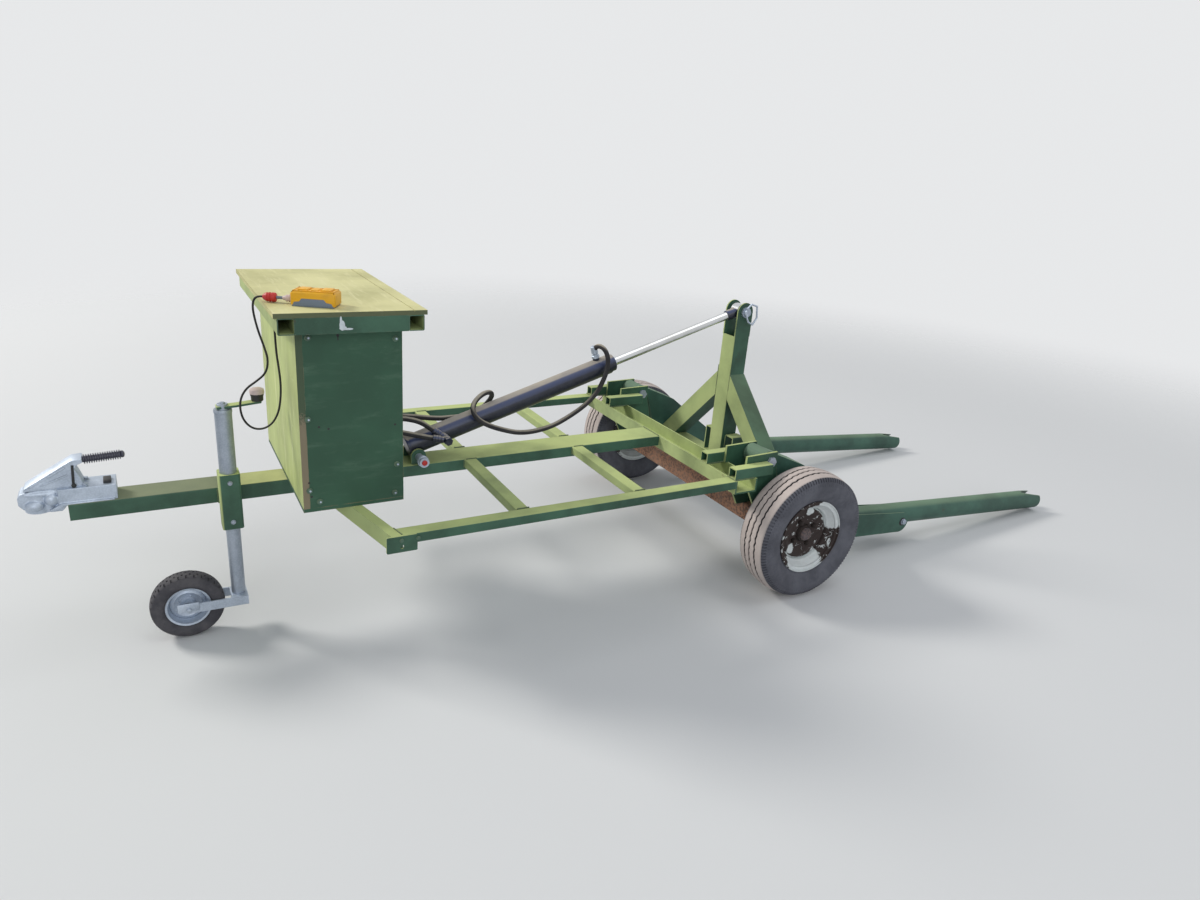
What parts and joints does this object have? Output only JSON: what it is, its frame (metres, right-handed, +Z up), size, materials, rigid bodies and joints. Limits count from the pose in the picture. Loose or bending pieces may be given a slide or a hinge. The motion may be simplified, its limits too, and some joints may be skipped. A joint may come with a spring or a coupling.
{
  "type": "bale lifter",
  "caption": "Towed lifter for round bales: light trailer frame with a hinged mast and twin round tines, one hydraulic ram, control box on the drawbar and a jockey wheel.",
  "frame": {"origin": "middle of the machine's length and width, on the ground that the wheels stand on", "axes": "+X forward to the coupling, +Y to the machine's left, +Z up"},
  "size_m": [4.1393, 1.352, 1.103],
  "materials": {
    "green_paint": "worn satin paint, dark green, with scuffs and rust at the edges",
    "bright_zinc": "dull zinc plate with light stains",
    "rusted_steel": "rusted steel with loose brown scale",
    "tine_steel": "green paint worn through along the top and at the tip",
    "tyre_rubber": "dusty black rubber",
    "rim_steel": "white paint with heavy rust",
    "hub_steel": "dark greasy casting",
    "box_board": "plywood painted green",
    "lid_paint": "green paint, dusty on top",
    "ram_paint": "blue black paint",
    "rod_chrome": "hard chrome, oiled",
    "pack_case": "black case",
    "jockey_rubber": "solid black rubber",
    "jockey_metal": "pressed wheel, worn paint",
    "grip_plastic": "black ribbed plastic",
    "hose_rubber": "black hydraulic hose, faded to grey on top",
    "handset_plastic": "orange yellow cover on a grey base",
    "lead_sheath": "thin black cable sheath",
    "plug_plastic": "faded red plastic"
  },
  "bodies": {
    "chassis": {"drawbar": "green_paint", "spine": "green_paint", "left_rail": "green_paint", "right_rail": "green_paint", "front_cross_members": "green_paint", "cross_members": "green_paint", "rear_channel": "green_paint", "axle_beam": "rusted_steel", "axle_arms": "rusted_steel", "left_inner_bracket": "green_paint", "left_outer_bracket": "green_paint", "right_inner_bracket": "green_paint", "right_outer_bracket": "green_paint", "pivot_pins": "bright_zinc", "ram_lugs": "green_paint", "ram_pin": "bright_zinc", "coupling_body": "bright_zinc", "coupling_lever": "grip_plastic", "jockey_socket": "green_paint", "jockey_tube": "bright_zinc", "jockey_crank": "bright_zinc", "near_panel": "box_board", "far_panel": "box_board", "front_panel": "box_board", "rear_panel": "box_board", "box_floor": "box_board", "power_pack": "pack_case", "battery": "pack_case"},
    "lid": {"lid_frame": "lid_paint", "lid_panel": "lid_paint", "handset": "handset_plastic", "lead_plug": "plug_plastic", "lead_gland": "grip_plastic", "lead": "lead_sheath"},
    "left_wheel": {"left_tyre": "tyre_rubber", "left_rim": "rim_steel", "left_hub": "hub_steel"},
    "right_wheel": {"right_tyre": "tyre_rubber", "right_rim": "rim_steel", "right_hub": "hub_steel"},
    "lifter": {"left_arm": "green_paint", "right_arm": "green_paint", "left_tine": "tine_steel", "right_tine": "tine_steel", "lifter_beam": "green_paint", "mast_post": "green_paint", "mast_legs": "green_paint", "mast_pockets": "green_paint", "mast_pin": "bright_zinc"},
    "ram": {"ram_barrel": "ram_paint", "hose_fittings": "bright_zinc", "rod_hose": "hose_rubber", "base_hose": "hose_rubber", "return_hose": "hose_rubber"},
    "rod": {"ram_rod": "rod_chrome"},
    "jockey_leg": {"jockey_leg": "bright_zinc"},
    "jockey_fork": {"jockey_fork": "bright_zinc"},
    "jockey_wheel": {"jockey_tyre": "jockey_rubber", "jockey_rim": "jockey_metal"}
  },
  "joints": [
    {"name": "left_wheel_spin", "type": "hinge", "parent": "chassis", "child": "left_wheel", "pos_m": [-0.3435, 0.603, 0.2435], "axis": [0, 1, 0], "continuous": true},
    {"name": "right_wheel_spin", "type": "hinge", "parent": "chassis", "child": "right_wheel", "pos_m": [-0.3435, -0.603, 0.2435], "axis": [0, 1, 0], "continuous": true},
    {"name": "lift", "type": "hinge", "parent": "chassis", "child": "lifter", "pos_m": [-0.233, 0, 0.498], "axis": [0, 1, 0], "range_deg": [0, 60]},
    {"name": "ram_pivot", "type": "hinge", "parent": "chassis", "child": "ram", "pos_m": [0.937, 0, 0.49], "axis": [0, 1, 0], "range_deg": [0, 5]},
    {"name": "rod_slide", "type": "slide", "parent": "ram", "child": "rod", "axis": [-0.9536, 0, 0.301], "range_m": [-0.475, 0]},
    {"name": "lid_hinge", "type": "hinge", "parent": "chassis", "child": "lid", "pos_m": [1.043, 0, 1.01], "axis": [0, -1, 0], "range_deg": [0, 100]},
    {"name": "jockey_raise", "type": "slide", "parent": "chassis", "child": "jockey_leg", "axis": [0, 0, 1], "range_m": [0, 0.215]},
    {"name": "jockey_swivel", "type": "hinge", "parent": "jockey_leg", "child": "jockey_fork", "pos_m": [1.5355, 0.085, 0.11], "axis": [0, 0, 1], "range_deg": [0, 180]},
    {"name": "jockey_spin", "type": "hinge", "parent": "jockey_fork", "child": "jockey_wheel", "pos_m": [1.6815, 0.085, 0.105], "axis": [0, 1, 0], "continuous": true}
  ],
  "couplings": [
    {"joint": "ram_pivot", "follows": "lift", "ratio": 0.08021},
    {"joint": "rod_slide", "follows": "lift", "m_per_rad": -0.45141}
  ]
}
